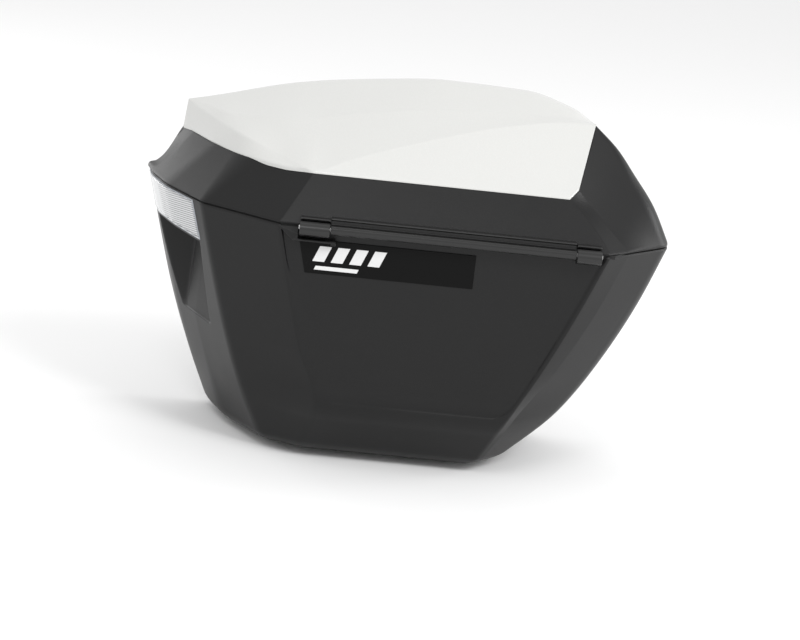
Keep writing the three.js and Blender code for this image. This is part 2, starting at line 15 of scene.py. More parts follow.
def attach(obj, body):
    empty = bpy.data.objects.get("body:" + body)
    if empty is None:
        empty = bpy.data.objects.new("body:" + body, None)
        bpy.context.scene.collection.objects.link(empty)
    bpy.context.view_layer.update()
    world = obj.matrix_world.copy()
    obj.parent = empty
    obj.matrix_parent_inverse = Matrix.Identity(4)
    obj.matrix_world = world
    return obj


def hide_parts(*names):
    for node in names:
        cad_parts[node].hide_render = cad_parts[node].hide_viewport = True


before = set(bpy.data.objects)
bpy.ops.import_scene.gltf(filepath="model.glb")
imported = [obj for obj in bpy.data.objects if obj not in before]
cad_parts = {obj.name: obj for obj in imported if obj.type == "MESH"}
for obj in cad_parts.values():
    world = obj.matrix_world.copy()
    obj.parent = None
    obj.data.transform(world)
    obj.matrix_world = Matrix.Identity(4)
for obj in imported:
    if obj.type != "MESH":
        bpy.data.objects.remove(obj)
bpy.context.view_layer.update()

# ---- Driving dimensions ----
ORIGIN = np.array([4.5, 97.0, -239.0])  # the row frame's origin in the case's frame
BACK = 187.0
TUB_DEPTH = 233.0
PARTING = 0.8  # half of the gap between tub and lid
BOTTOM_ROUND = 12.0
WALL = 3.2
HINGE_Y = -6.0  # the hinge pin lies at z = 0
# First and last x of the pieces along the hinge.
KNUCKLE_LEFT = (-92.0, -64.3)
KNUCKLE_RIGHT = (163.3, 186.0)
LEAF = (-63.7, 162.7)


def to_row(points):
    return (np.asarray(points, float) - ORIGIN) / 1000.0


# ---- Curves through a few points ----
def monotone(xs, ys, x):
    """Smooth curve through the points (xs, ys) that never overshoots them; xs rises or falls."""
    xs, ys, x = np.asarray(xs, float), np.asarray(ys, float), np.asarray(x, float)
    if xs[0] > xs[-1]:
        xs, ys = xs[::-1], ys[::-1]
    step = np.diff(xs)
    slope = np.diff(ys) / step
    tangent = np.empty_like(ys)
    tangent[0], tangent[-1] = slope[0], slope[-1]
    before, after = slope[:-1], slope[1:]
    same_way = before * after > 0
    total = np.where(same_way, before + after, 1.0)
    tangent[1:-1] = np.where(same_way, 2 * before * after / total, 0.0)
    i = np.clip(np.searchsorted(xs, x) - 1, 0, len(step) - 1)
    t = np.clip((x - xs[i]) / step[i], 0, 1)
    h = step[i]
    return (
        ys[i] * (1 + 2 * t) * (1 - t) ** 2
        + tangent[i] * h * t * (1 - t) ** 2
        + ys[i + 1] * t * t * (3 - 2 * t)
        - tangent[i + 1] * h * t * t * (1 - t)
    )


def smoothstep(low, high, x):
    """0 up to low and 1 from high on, with a smooth rise between."""
    t = np.clip((np.asarray(x, float) - low) / (high - low), 0, 1)
    return t * t * (3 - 2 * t)


def soft_max(a, b, width):
    """The larger of a and b, rounded where they cross."""
    half = np.clip(0.5 + 0.5 * (a - b) / width, 0, 1)
    return b + (a - b) * half + width * half * (1 - half) / 2


def soft_min(a, b, width):
    return -soft_max(-a, -b, width)


# ---- Rounded loops ----
def corner_arc(before, corner, after, radius, steps):
    """Points of the arc that rounds a corner of a 3-D polygon."""
    to_before, to_after = before - corner, after - corner
    reach_before, reach_after = np.linalg.norm(to_before), np.linalg.norm(to_after)
    u, v = to_before / max(reach_before, 1e-9), to_after / max(reach_after, 1e-9)
    half_angle = math.acos(float(np.clip(u @ v, -1, 1))) / 2
    reach = radius / max(math.tan(half_angle), 1e-6)
    reach = min(reach, 0.48 * reach_before, 0.48 * reach_after)
    t = np.linspace(0, 1, steps)[:, None]
    start, end = corner + u * reach, corner + v * reach
    weight = math.sin(half_angle)
    weighted = start * (1 - t) ** 2 + 2 * weight * t * (1 - t) * corner + end * t * t
    return weighted / ((1 - t) ** 2 + 2 * weight * t * (1 - t) + t * t)


def rounded_loop(corners, radii, arc_steps, side_fractions):
    """A closed loop with rounded corners.

    side_fractions[i] places the points between corner i and the next.
    """
    corners = [np.asarray(c, float) for c in corners]
    n = len(corners)
    arcs = [
        corner_arc(corners[i - 1], corners[i], corners[(i + 1) % n], radii[i], arc_steps)
        for i in range(n)
    ]
    parts = []
    for i in range(n):
        parts.append(arcs[i])
        start, end = arcs[i][-1], arcs[(i + 1) % n][0]
        parts.append(start + (end - start) * np.asarray(side_fractions[i])[:, None])
    return np.concatenate(parts)


def rounded_path(corners, radii, arc_steps, side_steps):
    """An open path with its inner corners rounded, with the same number of points whatever its shape."""
    corners = [np.asarray(c, float) for c in corners]
    parts = [corners[0][None]]
    for i in range(1, len(corners) - 1):
        arc = corner_arc(corners[i - 1], corners[i], corners[i + 1], radii[i], arc_steps)
        parts.append(np.linspace(parts[-1][-1], arc[0], side_steps[i - 1] + 2)[1:-1])
        parts.append(arc)
    parts.append(np.linspace(parts[-1][-1], corners[-1], side_steps[-1] + 2)[1:])
    return np.concatenate(parts)


def even(count):
    """Evenly spaced fractions, without 0 and 1."""
    return np.arange(1, count + 1) / (count + 1)


# ---- Mesh making ----
BEVEL_ANGLE = 28


def mesh_object(name, points, faces, smooth_angle):
    """A mesh shaded smooth, with its edges sharp from smooth_angle degrees on."""
    mesh = bpy.data.meshes.new(name)
    mesh.from_pydata([tuple(p) for p in to_row(points)], [], [tuple(int(i) for i in f) for f in faces])
    mesh.validate()
    shaped = bmesh.new()
    shaped.from_mesh(mesh)
    bmesh.ops.recalc_face_normals(shaped, faces=shaped.faces)
    shaped.to_mesh(mesh)
    shaped.free()
    obj = bpy.data.objects.new(name, mesh)
    bpy.context.scene.collection.objects.link(obj)
    mesh.shade_smooth()
    if smooth_angle < 180:
        mesh.set_sharp_from_angle(angle=math.radians(smooth_angle))
    return obj


def strip_faces(rows, columns, closed=True):
    """Quads between successive rows of a grid, closed round each row or not."""
    faces = []
    last = columns if closed else columns - 1
    for r in range(rows - 1):
        for c in range(last):
            a = r * columns + c
            b = r * columns + (c + 1) % columns
            faces.append((a, b, b + columns, a + columns))
    return faces


def loft(rings, cap_start=False, cap_end=False):
    """Points and faces of a surface through closed rings of equal size."""
    columns = len(rings[0])
    points = np.concatenate(rings)
    faces = strip_faces(len(rings), columns)
    if cap_start:
        faces.append(tuple(range(columns))[::-1])
    if cap_end:
        first = (len(rings) - 1) * columns
        faces.append(tuple(range(first, first + columns)))
    return points, faces


def apply_modifiers(obj):
    depsgraph = bpy.context.evaluated_depsgraph_get()
    made = bpy.data.meshes.new_from_object(obj.evaluated_get(depsgraph))
    obj.modifiers.clear()
    obj.data = made
    return obj


def solidify(obj, thickness_mm):
    """Give a surface a wall on its inner side."""
    wall = obj.modifiers.new("wall", "SOLIDIFY")
    wall.thickness = thickness_mm / 1000
    wall.offset = -1
    wall.use_even_offset = False
    wall.use_rim = True
    return apply_modifiers(obj)


def bevelled(obj, width_mm):
    """Round the edges that turn by more than BEVEL_ANGLE."""
    edge = obj.modifiers.new("edge", "BEVEL")
    edge.width = width_mm / 1000
    edge.segments = 2
    edge.limit_method = "ANGLE"
    edge.angle_limit = math.radians(BEVEL_ANGLE)
    edge.harden_normals = True
    return obj


def join_objects(name, *objects):
    with bpy.context.temp_override(active_object=objects[0], selected_editable_objects=list(objects)):
        bpy.ops.object.join()
    objects[0].name = name
    return objects[0]


def merged(name, pieces):
    """One object made of several pieces, with their bevels applied."""
    for piece in pieces:
        apply_modifiers(piece)
    return join_objects(name, *pieces)


def finish_piece(obj, body, material, slot, *nodes):
    """Give a piece its material and its body, and let it take the place of the named CAD nodes."""
    obj.data.materials.clear()
    obj.data.materials.append(material)
    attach(obj, body)
    if nodes:
        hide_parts(*nodes)


# ---- Character lines ----
TUB_LEVELS = [0, -60, -120, -174, -TUB_DEPTH]
TUB_LINES = {  # x at each level, y at each level; None follows the outer face
    "face_left": ([-112, -98, -82, -62, -78], None),
    "band_front": ([195, 172, 146, 118.5, 93], None),
    "band_back": ([214, 191, 161, 127, 98], [18, 19, 19, 21, 46]),
    "end_front": ([258, 236, 207, 173, 114], [62, 62, 62, 62, 64]),
    "end_back": ([250, 232, 212, 190, 162], [BACK] * 5),
    "left_back": ([-252, -237.5, -221, -202, -176], [BACK] * 5),
    "left_far": ([-246.5, -231, -215, -197, -173], [160] * 5),
    "left_middle": ([-229, -209, -192, -175, -154], [115, 115, 115, 115, 114]),
    "left_front": ([-188, -173, -156, -137, -111], [51, 50, 50, 50, 57]),
}
FACE_Y_AT_CHAMFER = 9.0
CHAMFER_TOP = -174.0
CHAMFER_FOOT_Y = 43.0
CHAMFER_SOFT = 9.0
TUB_RADII = {
    "face_left": 6, "band_front": 2.5, "band_back": 5, "end_front": 26,
    "end_back": 16, "left_back": 2, "left_far": 60, "left_middle": 110, "left_front": 20,
}


def face_y(z):
    """The outer face: leaning back a little, then turning in along the chamfer."""
    lean = FACE_Y_AT_CHAMFER * (-z) / (-CHAMFER_TOP)
    slope = (CHAMFER_FOOT_Y - FACE_Y_AT_CHAMFER) / (CHAMFER_TOP + TUB_DEPTH)
    chamfer = FACE_Y_AT_CHAMFER + slope * (CHAMFER_TOP - z)
    return soft_max(lean, chamfer, CHAMFER_SOFT)


def tub_corners(z):
    corners = {}
    for name, (xs, ys) in TUB_LINES.items():
        x = float(monotone(TUB_LEVELS, xs, z))
        y = float(face_y(z)) if ys is None else float(monotone(TUB_LEVELS, ys, z))
        corners[name] = np.array([x, y, z])
    return corners


MIDDLE_Y = 112
WHOLE_INSET = (70, 25)  # distance in x and in y from the middle lines where a point moves by the whole depth


def towards_middle(point, depth):
    """Move a point of a ring inwards, by less where it is near the middle lines."""
    x, y, z = point
    near_x = np.clip(x / WHOLE_INSET[0], -1, 1)
    near_y = np.clip((y - MIDDLE_Y) / WHOLE_INSET[1], -1, 1)
    return np.array([x - depth * near_x, y - depth * near_y, z])


ARC_STEPS = 7  # points in each rounded corner of a ring
# Fractions along each side where a ring of the tub has its points: close together at the panel's edges on the
# outer face, and at the front wall of the scoop on the left end.
FACE_SIDE = np.concatenate([
    np.linspace(0.0005, 0.024, 26),
    np.linspace(0.030, 0.12, 24),
    np.linspace(0.13, 0.87, 60),
    np.linspace(0.88, 0.945, 18),
    np.linspace(0.9495, 0.984, 30),
    [0.990, 0.996],
])
LEFT_SIDE_NEAR = np.concatenate([even(16) * 0.42, np.linspace(0.43, 0.80, 64), np.linspace(0.82, 0.985, 14)])
SIDE_POINTS = [FACE_SIDE, even(6), even(22), even(16), even(30), even(14), even(30), LEFT_SIDE_NEAR, even(26)]


# ---- Tub ----
# The outer face's sunk panel: its left and right edge at each level, and its bottom edge with a round corner.
PANEL_DEEP = 2.3
PANEL_LEVELS = TUB_LEVELS[:-1]
PANEL_LEFT = [-110.4, -96.2, -80.3, -60.5]
PANEL_RIGHT = [192, 169, 143, 116]
PANEL_BOTTOM = -172.0
PANEL_CORNER = 16.0
PANEL_STEP = 1.6  # width of its crisp edge
PANEL_FADE = 26  # how much wider its left edge is low down

# The scoop is a wedge: deepest along its top, very shallow at its foot, with a slanting wall at its back.
SCOOP = {"top": -42.0, "bottom": -127.0, "deep": 29.0}
SCOOP_NEAR = (0.85, 0.74)  # where it ends towards the front, at its top and at its foot
SCOOP_RIM = (0.13, 0.30)  # where its back wall starts, at its top and at its foot, as shares of the left end
SCOOP_VALLEY = (0.36, 0.33)  # where that wall meets its floor
SCOOP_VALLEY_SOFT = 2.5
REFLECTOR = {"top": -1.8, "bottom": -40.2, "far": 0.014, "near": 0.86}  # far and near are shares too
REFLECTOR_SINK = 3.0
LEFT_END_LENGTH = 148.0  # from back corner to front edge, at the reflector


def panel_sink(x, z):
    """How deep the outer face is sunk: crisp on the right, and fading downwards on the left."""
    left = monotone(PANEL_LEVELS, PANEL_LEFT, z)
    right = monotone(PANEL_LEVELS, PANEL_RIGHT, z)
    soft = PANEL_STEP + PANEL_FADE * smoothstep(30, 120, -z)
    inside_left = smoothstep(0, soft, x - left)
    corner_x = np.clip((x - (right - PANEL_CORNER)) / PANEL_CORNER, 0, None)
    corner_z = np.clip(((PANEL_BOTTOM + PANEL_CORNER) - z) / PANEL_CORNER, 0, None)
    reach = PANEL_CORNER * (1 - np.hypot(corner_x, corner_z))
    inside_right = smoothstep(0, PANEL_STEP, np.where(corner_z > 0, reach, right - x))
    side = smoothstep(-80, 60, x)
    fade_left = 1 - 0.75 * smoothstep(30, 130, -z)
    fade_right = 1 - 0.25 * smoothstep(60, 170, -z)
    fade = fade_left * (1 - side) + fade_right * side
    above_bottom = smoothstep(PANEL_BOTTOM - 1, PANEL_BOTTOM + 2, z)
    return PANEL_DEEP * inside_left * inside_right * above_bottom * fade


def scoop_sink(along, z):
    """Depth of the scoop; along is 0 at the back corner of the left end and 1 at its front edge."""
    down = np.clip((SCOOP["top"] - z) / (SCOOP["top"] - SCOOP["bottom"]), 0, 1)
    floor = SCOOP["deep"] * (1 - down) + 1.0
    rim = SCOOP_RIM[0] + (SCOOP_RIM[1] - SCOOP_RIM[0]) * down
    valley = SCOOP_VALLEY[0] + (SCOOP_VALLEY[1] - SCOOP_VALLEY[0]) * down
    wall = floor * (along - rim) / (valley - rim)
    depth = np.clip(soft_min(wall, floor, SCOOP_VALLEY_SOFT), 0, None)
    near = SCOOP_NEAR[0] + (SCOOP_NEAR[1] - SCOOP_NEAR[0]) * down
    depth = depth * smoothstep(0, 0.03, near - along)
    return depth * smoothstep(0, 1.0, SCOOP["top"] - z) * smoothstep(0, 1.4, z - SCOOP["bottom"])


def reflector_sink(along, z):
    """Depth of the reflector's seat, with steep walls all round."""
    across = smoothstep(0, 0.004, along - REFLECTOR["far"]) * smoothstep(0, 0.004, REFLECTOR["near"] - along)
    below_top = smoothstep(0, 0.5, REFLECTOR["top"] - z)
    above_bottom = smoothstep(0, 0.5, z - REFLECTOR["bottom"])
    return REFLECTOR_SINK * across * below_top * above_bottom


# Runs of levels down the tub's sides, each with its first level, last level and count: close together at the
# edges of what is sunk into them.
ROUND_TOP = BOTTOM_ROUND - TUB_DEPTH
LEVEL_RUNS = [
    (-PARTING, -3.2, 8), (-5, -36, 20), (-38, -46, 20), (-49, -118, 36),
    (-120, -130, 20), (-134, -160, 12), (-163, -180, 20), (-183, ROUND_TOP, 16),
]


def tub_heights():
    """Levels of the tub's rings, down the sides and then round the bottom edge."""
    sides = [z for run in LEVEL_RUNS for z in np.linspace(*run)]
    turn = np.radians(np.linspace(6, 90, 14))
    return sides + [ROUND_TOP - BOTTOM_ROUND * math.sin(a) for a in turn]


LIP_INSET = 0.9
BLUNTED_LINES = ("face_left", "band_front", "band_back")  # their corners grow rounder towards the bottom


def tub_ring(z):
    corners = tub_corners(z)
    depth = max(0.0, ROUND_TOP - z)
    inset = BOTTOM_ROUND - math.sqrt(max(0.0, BOTTOM_ROUND**2 - depth**2))
    lip = LIP_INSET * (1 - smoothstep(0.8, 2.4, -z))  # the top edge is rounded over
    blunter = 1 + 2.5 * float(smoothstep(120, 225, -z))
    radii = [TUB_RADII[name] * (blunter if name in BLUNTED_LINES else 1) for name in corners]
    points = [towards_middle(p, inset + lip) for p in corners.values()]
    return rounded_loop(points, radii, ARC_STEPS, SIDE_POINTS)


def left_end_span():
    """Where the left end starts and stops in a ring, from its back corner to its front edge."""
    starts = np.cumsum([0] + [ARC_STEPS + len(side) for side in SIDE_POINTS])
    names = list(TUB_LINES)
    return starts[names.index("left_back")], starts[names.index("left_front")] + ARC_STEPS


def share_along(points):
    """How far along its path each point lies, from 0 to 1."""
    steps = np.linalg.norm(np.diff(points, axis=0), axis=1)
    return np.concatenate([[0], np.cumsum(steps)]) / steps.sum()


LEFT_INWARD = np.array([0.89, 0.45, 0.0])  # the way into the left end's scoop and reflector seat


def build_tub():
    rings = [tub_ring(z) for z in tub_heights()]
    start, end = left_end_span()
    face_end = ARC_STEPS + len(FACE_SIDE)
    for ring in rings:
        z = ring[0][2]
        ring[:face_end, 1] += panel_sink(ring[:face_end, 0], z)
        along = share_along(ring[start:end])
        ring[start:end] += (scoop_sink(along, z) + reflector_sink(along, z))[:, None] * LEFT_INWARD
    points, faces = loft(rings, cap_end=True)
    return solidify(mesh_object("tub_body", points, faces, 55), WALL)


def left_end_point(along, z):
    """A point of the left end's surface at a share of the way from its back corner to its front edge."""
    ring = tub_ring(z)
    start, end = left_end_span()
    left = ring[start:end]
    shares = share_along(left)
    return np.array([np.interp(along, shares, left[:, k]) for k in range(3)]).T


# ---- Reflector on the left end ----
def reflector_sheet(name, margin, edge_distances, edge_heights, reach):
    """A sheet on the left end whose height over it follows the distance from the sheet's own edge.

    margin is its distance from the seat's edge, and within reach of its own edge its points lie closer.
    """
    top, bottom = REFLECTOR["top"] - margin, REFLECTOR["bottom"] + margin
    far = REFLECTOR["far"] + margin / LEFT_END_LENGTH
    near = REFLECTOR["near"] - margin / LEFT_END_LENGTH
    tall, wide = top - bottom, (near - far) * LEFT_END_LENGTH
    border = np.linspace(0, reach, 14)
    down = np.concatenate([border, np.linspace(reach, tall - reach, 8)[1:-1], tall - border[::-1]])
    over = np.concatenate([border, np.linspace(reach, wide - reach, 40)[1:-1], wide - border[::-1]])
    rows = []
    for d in down:
        surface = left_end_point(far + over / LEFT_END_LENGTH, top - d)
        edge = np.minimum(np.minimum(d, tall - d), np.minimum(over, wide - over))
        rows.append(surface - LEFT_INWARD * np.interp(edge, edge_distances, edge_heights)[:, None])
    points = np.concatenate(rows)
    return mesh_object(name, points, strip_faces(len(rows), len(over), closed=False), 50)


def build_tray():
    """The white backing of the lens, with a border that stands up round it."""
    distances, heights = [0, 0.3, 1.1, 1.4], [-2.0, 0.5, 0.5, -2.0]
    return reflector_sheet("reflector_tray", 0.2, distances, heights, 2.0)


def build_lens():
    """The clear lens: a raised rim, a groove inside it, and the field."""
    distances, heights = [0, 0.2, 1.0, 1.3, 2.0, 2.3], [-1.6, 0.9, 0.9, 0.2, 0.2, 0.7]
    return reflector_sheet("lens", 1.3, distances, heights, 3.0)


# ---- Lid ----
RIGHT_CORNER = (162, 38, 51)
RIGHT_TIP = (175.5, 87.7, 104.8)
LID_LINES = {  # points from the parting line up to the edge of the painted cover
    "face_left": [(-112, 0, 0), (-85, 31, 43)],
    "band_front": [(195, 0, 0), (187, 8, 11), (169, 21.6, 30), (153, 31, 43)],
    "band_back": [(214, 18, 0), (208, 21, 6), (188, 28, 25), RIGHT_CORNER],
    "end_front": [(258, 62, 0), (239, 68, 36), (218.5, 76, 62), (199.5, 83, 84.5), RIGHT_TIP],
    "end_back": [(250, BACK, 0), (239, BACK, 20), (222, BACK, 43), (203, BACK, 64), (180, BACK, 86)],
    "back_right": [(111, BACK, 0), (111, BACK, 112)],
    "back_middle": [(35, BACK, 0), (35, BACK, 114)],
    "back_left": [(-65, BACK, 0), (-65, BACK, 104)],
    "back_far": [(-180, BACK, 0), (-180, BACK, 79)],
    "left_back": [(-254.5, BACK, 0), (-253, BACK, 4), (-246, BACK, 6.5), (-221, BACK, 45)],
    "left_far": [(-247, 160, 0), (-208.4, 160, 44.6)],
    "left_middle": [(-229, 115, 0), (-184, 115, 44.1)],
    "left_front": [(-188, 51, 0), (-153, 71, 44)],
}
# For each line in turn: its corner's radius, and below the points between it and the next line.
LID_RADII = [5, 3, 6, 26, 10, 60, 90, 90, 60, 2, 60, 120, 20]
LID_SOFT = ("left_far", "left_middle", "left_front")
LID_SIDES = [even(n) for n in (60, 6, 26, 20, 16, 16, 18, 16, 10, 12, 24, 28, 24)]


def along_line(points, t):
    """The point a share t of the way along a smooth curve through the points."""
    points = np.asarray(points, float)
    lengths = np.concatenate([[0], np.cumsum(np.linalg.norm(np.diff(points, axis=0), axis=1))])
    lengths /= lengths[-1]
    return np.array([float(monotone(lengths, points[:, k], t)) for k in range(3)])


def lid_ring(t, inset):
    """A ring of the lid's skirt: t is 0 at the parting line and 1 at the painted cover's edge."""
    corners = [towards_middle(along_line(line, t), inset) for line in LID_LINES.values()]
    sharper = 1 - 0.85 * float(smoothstep(0.4, 1, t))  # corners but the soft ones tighten towards the cover
    radii = [r if name in LID_SOFT else r * sharper for name, r in zip(LID_LINES, LID_RADII)]
    radii[-1] *= 1 + 3 * t  # and the front left one opens
    return rounded_loop(corners, radii, ARC_STEPS, LID_SIDES)


COVER_ROWS = {  # the lines that the cover is stretched over, each from its left end to its right end
    "edge": [
        (-221, 184, 45), (-208, 160, 44.6), (-184, 117, 44.1), (-153, 74, 44), (-122, 50, 43.6),
        (-85, 31, 43), (154, 31, 43), RIGHT_CORNER, RIGHT_TIP,
    ],
    "crest": [
        (-218, 183, 71), (-187, 132, 65), (-154, 84, 60), (-118, 57, 51), (-85, 32.5, 44.8),
        (-52, 44, 55.5), (-16, 55, 67), (8, 61, 74), (38, 68, 82.5), (90, 79, 95), (150, 87, 104), RIGHT_TIP,
    ],
    "upper": [
        (-217.5, 183.3, 71.4), (-170, 124, 72.5), (-103, 98, 79), (-40, 100, 91), (6, 100, 98),
        (80, 101, 104), (150, 101, 106), (176.1, 100, 103),
    ],
    "ridge": [
        (-217, 183.6, 71.8), (-191, 175, 80), (-107, 167, 104), (-23, 160, 116.5), (35, 155, 122),
        (111, 145, 121.5), (155, 125, 113), (176.8, 116, 100.2),
    ],
    "back": [
        (-216.5, 184, 71), (-180, 184, 79), (-65, 184, 105), (35, 184, 115), (111, 184, 113),
        (179.9, 184, 87.4),
    ],
}
COVER_RADII = [0, 4.2, 5, 16, 40, 3, 0]  # across the cover: its foot, the rows in order, its back foot
COVER_ARC_STEPS = 9
COVER_STEPS = [2, 26, 14, 20, 12, 2]
COVER_PROUD = 1.1
COVER_SIDE = np.array([0, 0, 3.6])  # height of the wall under the cover's edge
FRONT_CORNER = 5  # the edge's point where its front run begins; left of it the edge curves back
FRONT_START = COVER_ROWS["edge"][FRONT_CORNER][0]
FRONT_END = COVER_ROWS["edge"][FRONT_CORNER + 1][0]


def row_point(name, share):
    """A point of one of the cover's lines, a share of the way in x from its left end to its right end."""
    xs, ys, zs = np.asarray(COVER_ROWS[name], float).T
    x = xs[0] + (xs[-1] - xs[0]) * share
    if name == "edge" and x > FRONT_START:  # straight runs between real corners
        return np.array([x, np.interp(x, xs, ys), np.interp(x, xs, zs)])
    last = FRONT_CORNER + 1 if name == "edge" else len(xs)
    return np.array([x, float(monotone(xs[:last], ys[:last], x)), float(monotone(xs[:last], zs[:last], x))])


def cover_section(share, lift):
    """A cut across the cover, from the foot of its front wall to the foot of its back wall."""
    rows = [row_point(name, share) for name in COVER_ROWS]
    for row in rows:
        row[2] += lift
    corners = [rows[0] - COVER_SIDE, *rows, rows[-1] - COVER_SIDE]
    return rounded_path(corners, COVER_RADII, COVER_ARC_STEPS, COVER_STEPS)


def cover_shares():
    """Shares of the way along the cover, closest where its edge curves and in its right end."""
    left, right = COVER_ROWS["edge"][0][0], COVER_ROWS["edge"][-1][0]
    curved = np.linspace(left, FRONT_START - 1, 70)
    straight = np.linspace(FRONT_START, FRONT_END - 1, 90)
    xs = np.concatenate([curved, straight, np.linspace(FRONT_END, right, 50)])
    return (xs - left) / (right - left)


def build_cover():
    sections = [cover_section(share, COVER_PROUD) for share in cover_shares()]
    faces = strip_faces(len(sections), len(sections[0]), closed=False)
    return mesh_object("painted_cover", np.concatenate(sections), faces, 180)


SKIRT_SHARES = np.concatenate([[0.0, 0.004, 0.012], np.linspace(0.03, 0.96, 40), [0.985, 1.0]])
DECK_DROP = 3.1  # how far the inner roof lies under the lines of the cover
CORNER_OUTLINE = [(-218.2, 47.5), (-180, 76), (-180, 78.3), (-216.2, 69.3)]  # x and z
CORNER_FACES = (184.6, 186.8)


def build_skirt():
    """The black ring round the lid, from the parting line up to the painted cover."""
    rings = []
    for t in SKIRT_SHARES:
        ring = lid_ring(t, 0.8 * (1 - smoothstep(0, 0.02, t)))  # the bottom edge is rounded over
        ring[:, 2] += PARTING * (1 - t)
        rings.append(ring)
    points, faces = loft(rings)
    return solidify(mesh_object("lid_skirt", points, faces, 55), WALL)


def build_deck():
    """The lid's inner roof, close under the painted cover."""
    shares = cover_shares()
    sections = [cover_section(share, -DECK_DROP) for share in (*shares[:-1:2], shares[-1])]
    faces = strip_faces(len(sections), len(sections[0]), closed=False)
    return mesh_object("lid_deck", np.concatenate(sections), faces, 180)


def build_lid_corner():
    """A flat plate that closes the lid's back beside the cover's left end."""
    rings = [np.array([(x, y, z) for x, z in CORNER_OUTLINE]) for y in CORNER_FACES]
    points, faces = loft(rings, cap_start=True, cap_end=True)
    return mesh_object("lid_corner", points, faces, 30)


def build_lid_frame():
    return join_objects("lid_body", build_skirt(), build_deck(), build_lid_corner())


# ---- Hinge: bars along the case, each a (y, z) profile ----
LEAF_RADIUS = 4.6
KNUCKLE_TOP_RADIUS = 5.6
KNUCKLE_FRONT_RADIUS = 6.0
END_PLATE = 1.3
SEAT = (-98, -58)
SEAT_TAB = (-62.5, -58)
SEAT_BEVEL = 0.5
TIP_BEVEL = 0.4


def bar(name, profile, ends, bevel=0.35):
    """A (y, z) profile carried along x."""
    rings = [np.array([(x, y, z) for y, z in profile]) for x in ends]
    points, faces = loft(rings, cap_start=True, cap_end=True)
    return bevelled(mesh_object(name, points, faces, 35), bevel)


def arc(centre, radius, start, end, steps):
    angles = np.radians(np.linspace(start, end, steps))
    return [(centre[0] + radius * math.cos(a), centre[1] + radius * math.sin(a)) for a in angles]


def build_leaf():
    """The lid's half of the hinge: the barrel, a ridge, a channel and a lip along its top."""
    barrel = arc((HINGE_Y, 0), LEAF_RADIUS, -40, -215, 20)
    ridge = [(-9.9, 3.2), (-9.8, 3.9), (-9.2, 4.3), (-8.4, 4.0)]
    channel = [(-7.4, 3.0), (-1.5, 2.9), (0.3, 3.9), (0.7, 7.4)]
    lip = [(-0.8, 7.9), (-1.2, 8.6), (-0.7, 9.3), (0.3, 9.6)]
    back = [(6.9, 9.7), (6.1, 8.6), (0.2, 1.2), (-1.8, -1.0)]
    return bar("leaf", barrel + ridge + channel + lip + back, LEAF)


def build_knuckle(name, ends):
    """A barrel moulded on the tub; its top keeps inside the circle that the lid's edge sweeps."""
    top = arc((HINGE_Y, 0), KNUCKLE_TOP_RADIUS, 2, 88, 8)
    front = arc((-7.4, -1.2), KNUCKLE_FRONT_RADIUS, 105, 262, 16)
    return bar(name, top + front + [(-4.0, -8.8), (-0.3, -9.6)], ends)


def build_wing(name, left, right):
    """The lid's ledge over a knuckle: a lip with an end plate on each side."""
    lip = [(0.2, 5.4), (0.2, 6.4), (-1.0, 6.8), (-1.3, 7.4), (-0.8, 8.0), (0.2, 8.2), (5.8, 8.2), (3.8, 5.4)]
    end = [(-1.1, 8.1), (-2.2, 6.9), (-0.8, 5.6), (3.8, 5.6), (5.7, 8.1)]
    plates = [bar(name, end, (x, x + END_PLATE)) for x in (left, right - END_PLATE)]
    return merged(name, [bar(name, lip, (left, right)), *plates])


def build_hinge_seat():
    """The tub's own ledge under the left knuckle, with a tab on its right and a slanting tip on its left."""
    ledge = [(0.6, -13.6), (0.6, -10.8), (-5.6, -11.0), (-6.6, -12.0), (-5.8, -13.4)]
    tab = [(0.6, -16.4), (0.6, -11.0), (-5.2, -11.2), (-5.8, -13.0), (-3.4, -16.0)]
    tip = [
        (-113, 0.2, -1.4), (-93.2, 0.2, -1.2), (-93.2, -6.0, -7.0), (-97.5, -6.2, -12.8),
        (-93.2, -6.2, -12.8), (-97.5, 0.6, -13.6), (-93.2, 0.6, -13.6),
    ]
    return merged("hinge_seat", [
        bar("hinge_seat", ledge, SEAT, SEAT_BEVEL),
        bar("seat_tab", tab, SEAT_TAB, SEAT_BEVEL),
        hull_piece("seat_tip", tip, TIP_BEVEL),
    ])


def hull_piece(name, corners, bevel):
    """The convex solid round a few corners."""
    mesh = bpy.data.meshes.new(name)
    shaped = bmesh.new()
    for corner in to_row(corners):
        shaped.verts.new(corner)
    bmesh.ops.convex_hull(shaped, input=shaped.verts)
    shaped.to_mesh(mesh)
    shaped.free()
    obj = bpy.data.objects.new(name, mesh)
    bpy.context.scene.collection.objects.link(obj)
    return bevelled(obj, bevel)


# ---- Name plate: outlines are (x, z), heights are over the sunk panel ----
PLATE_OUTLINE = [(-92, -12.5), (-84, -45), (72, -45), (72, -12.5)]
PLATE_TOP = 1.0
MARK_LEFT_EDGES = (-78, -61, -44, -27)
MARK_WIDTH = 11
MARK_LOW, MARK_HIGH = 0.9, 1.5


def face_point(x, z, proud):
    """A point over the sunk panel of the outer face."""
    return (x, FACE_Y_AT_CHAMFER * z / CHAMFER_TOP + PANEL_DEEP - proud, z)


def flat_piece(name, outline, low, high, bevel):
    """A thin plate on the outer face, between two heights over the sunk panel."""
    rings = [np.array([face_point(x, z, proud) for x, z in outline]) for proud in (low, high)]
    points, faces = loft(rings, cap_start=True, cap_end=True)
    return bevelled(mesh_object(name, points, faces, 30), bevel)


def slanted_box(left, right, bottom, top, slant):
    return [(left, bottom), (right, bottom), (right + slant, top), (left + slant, top)]


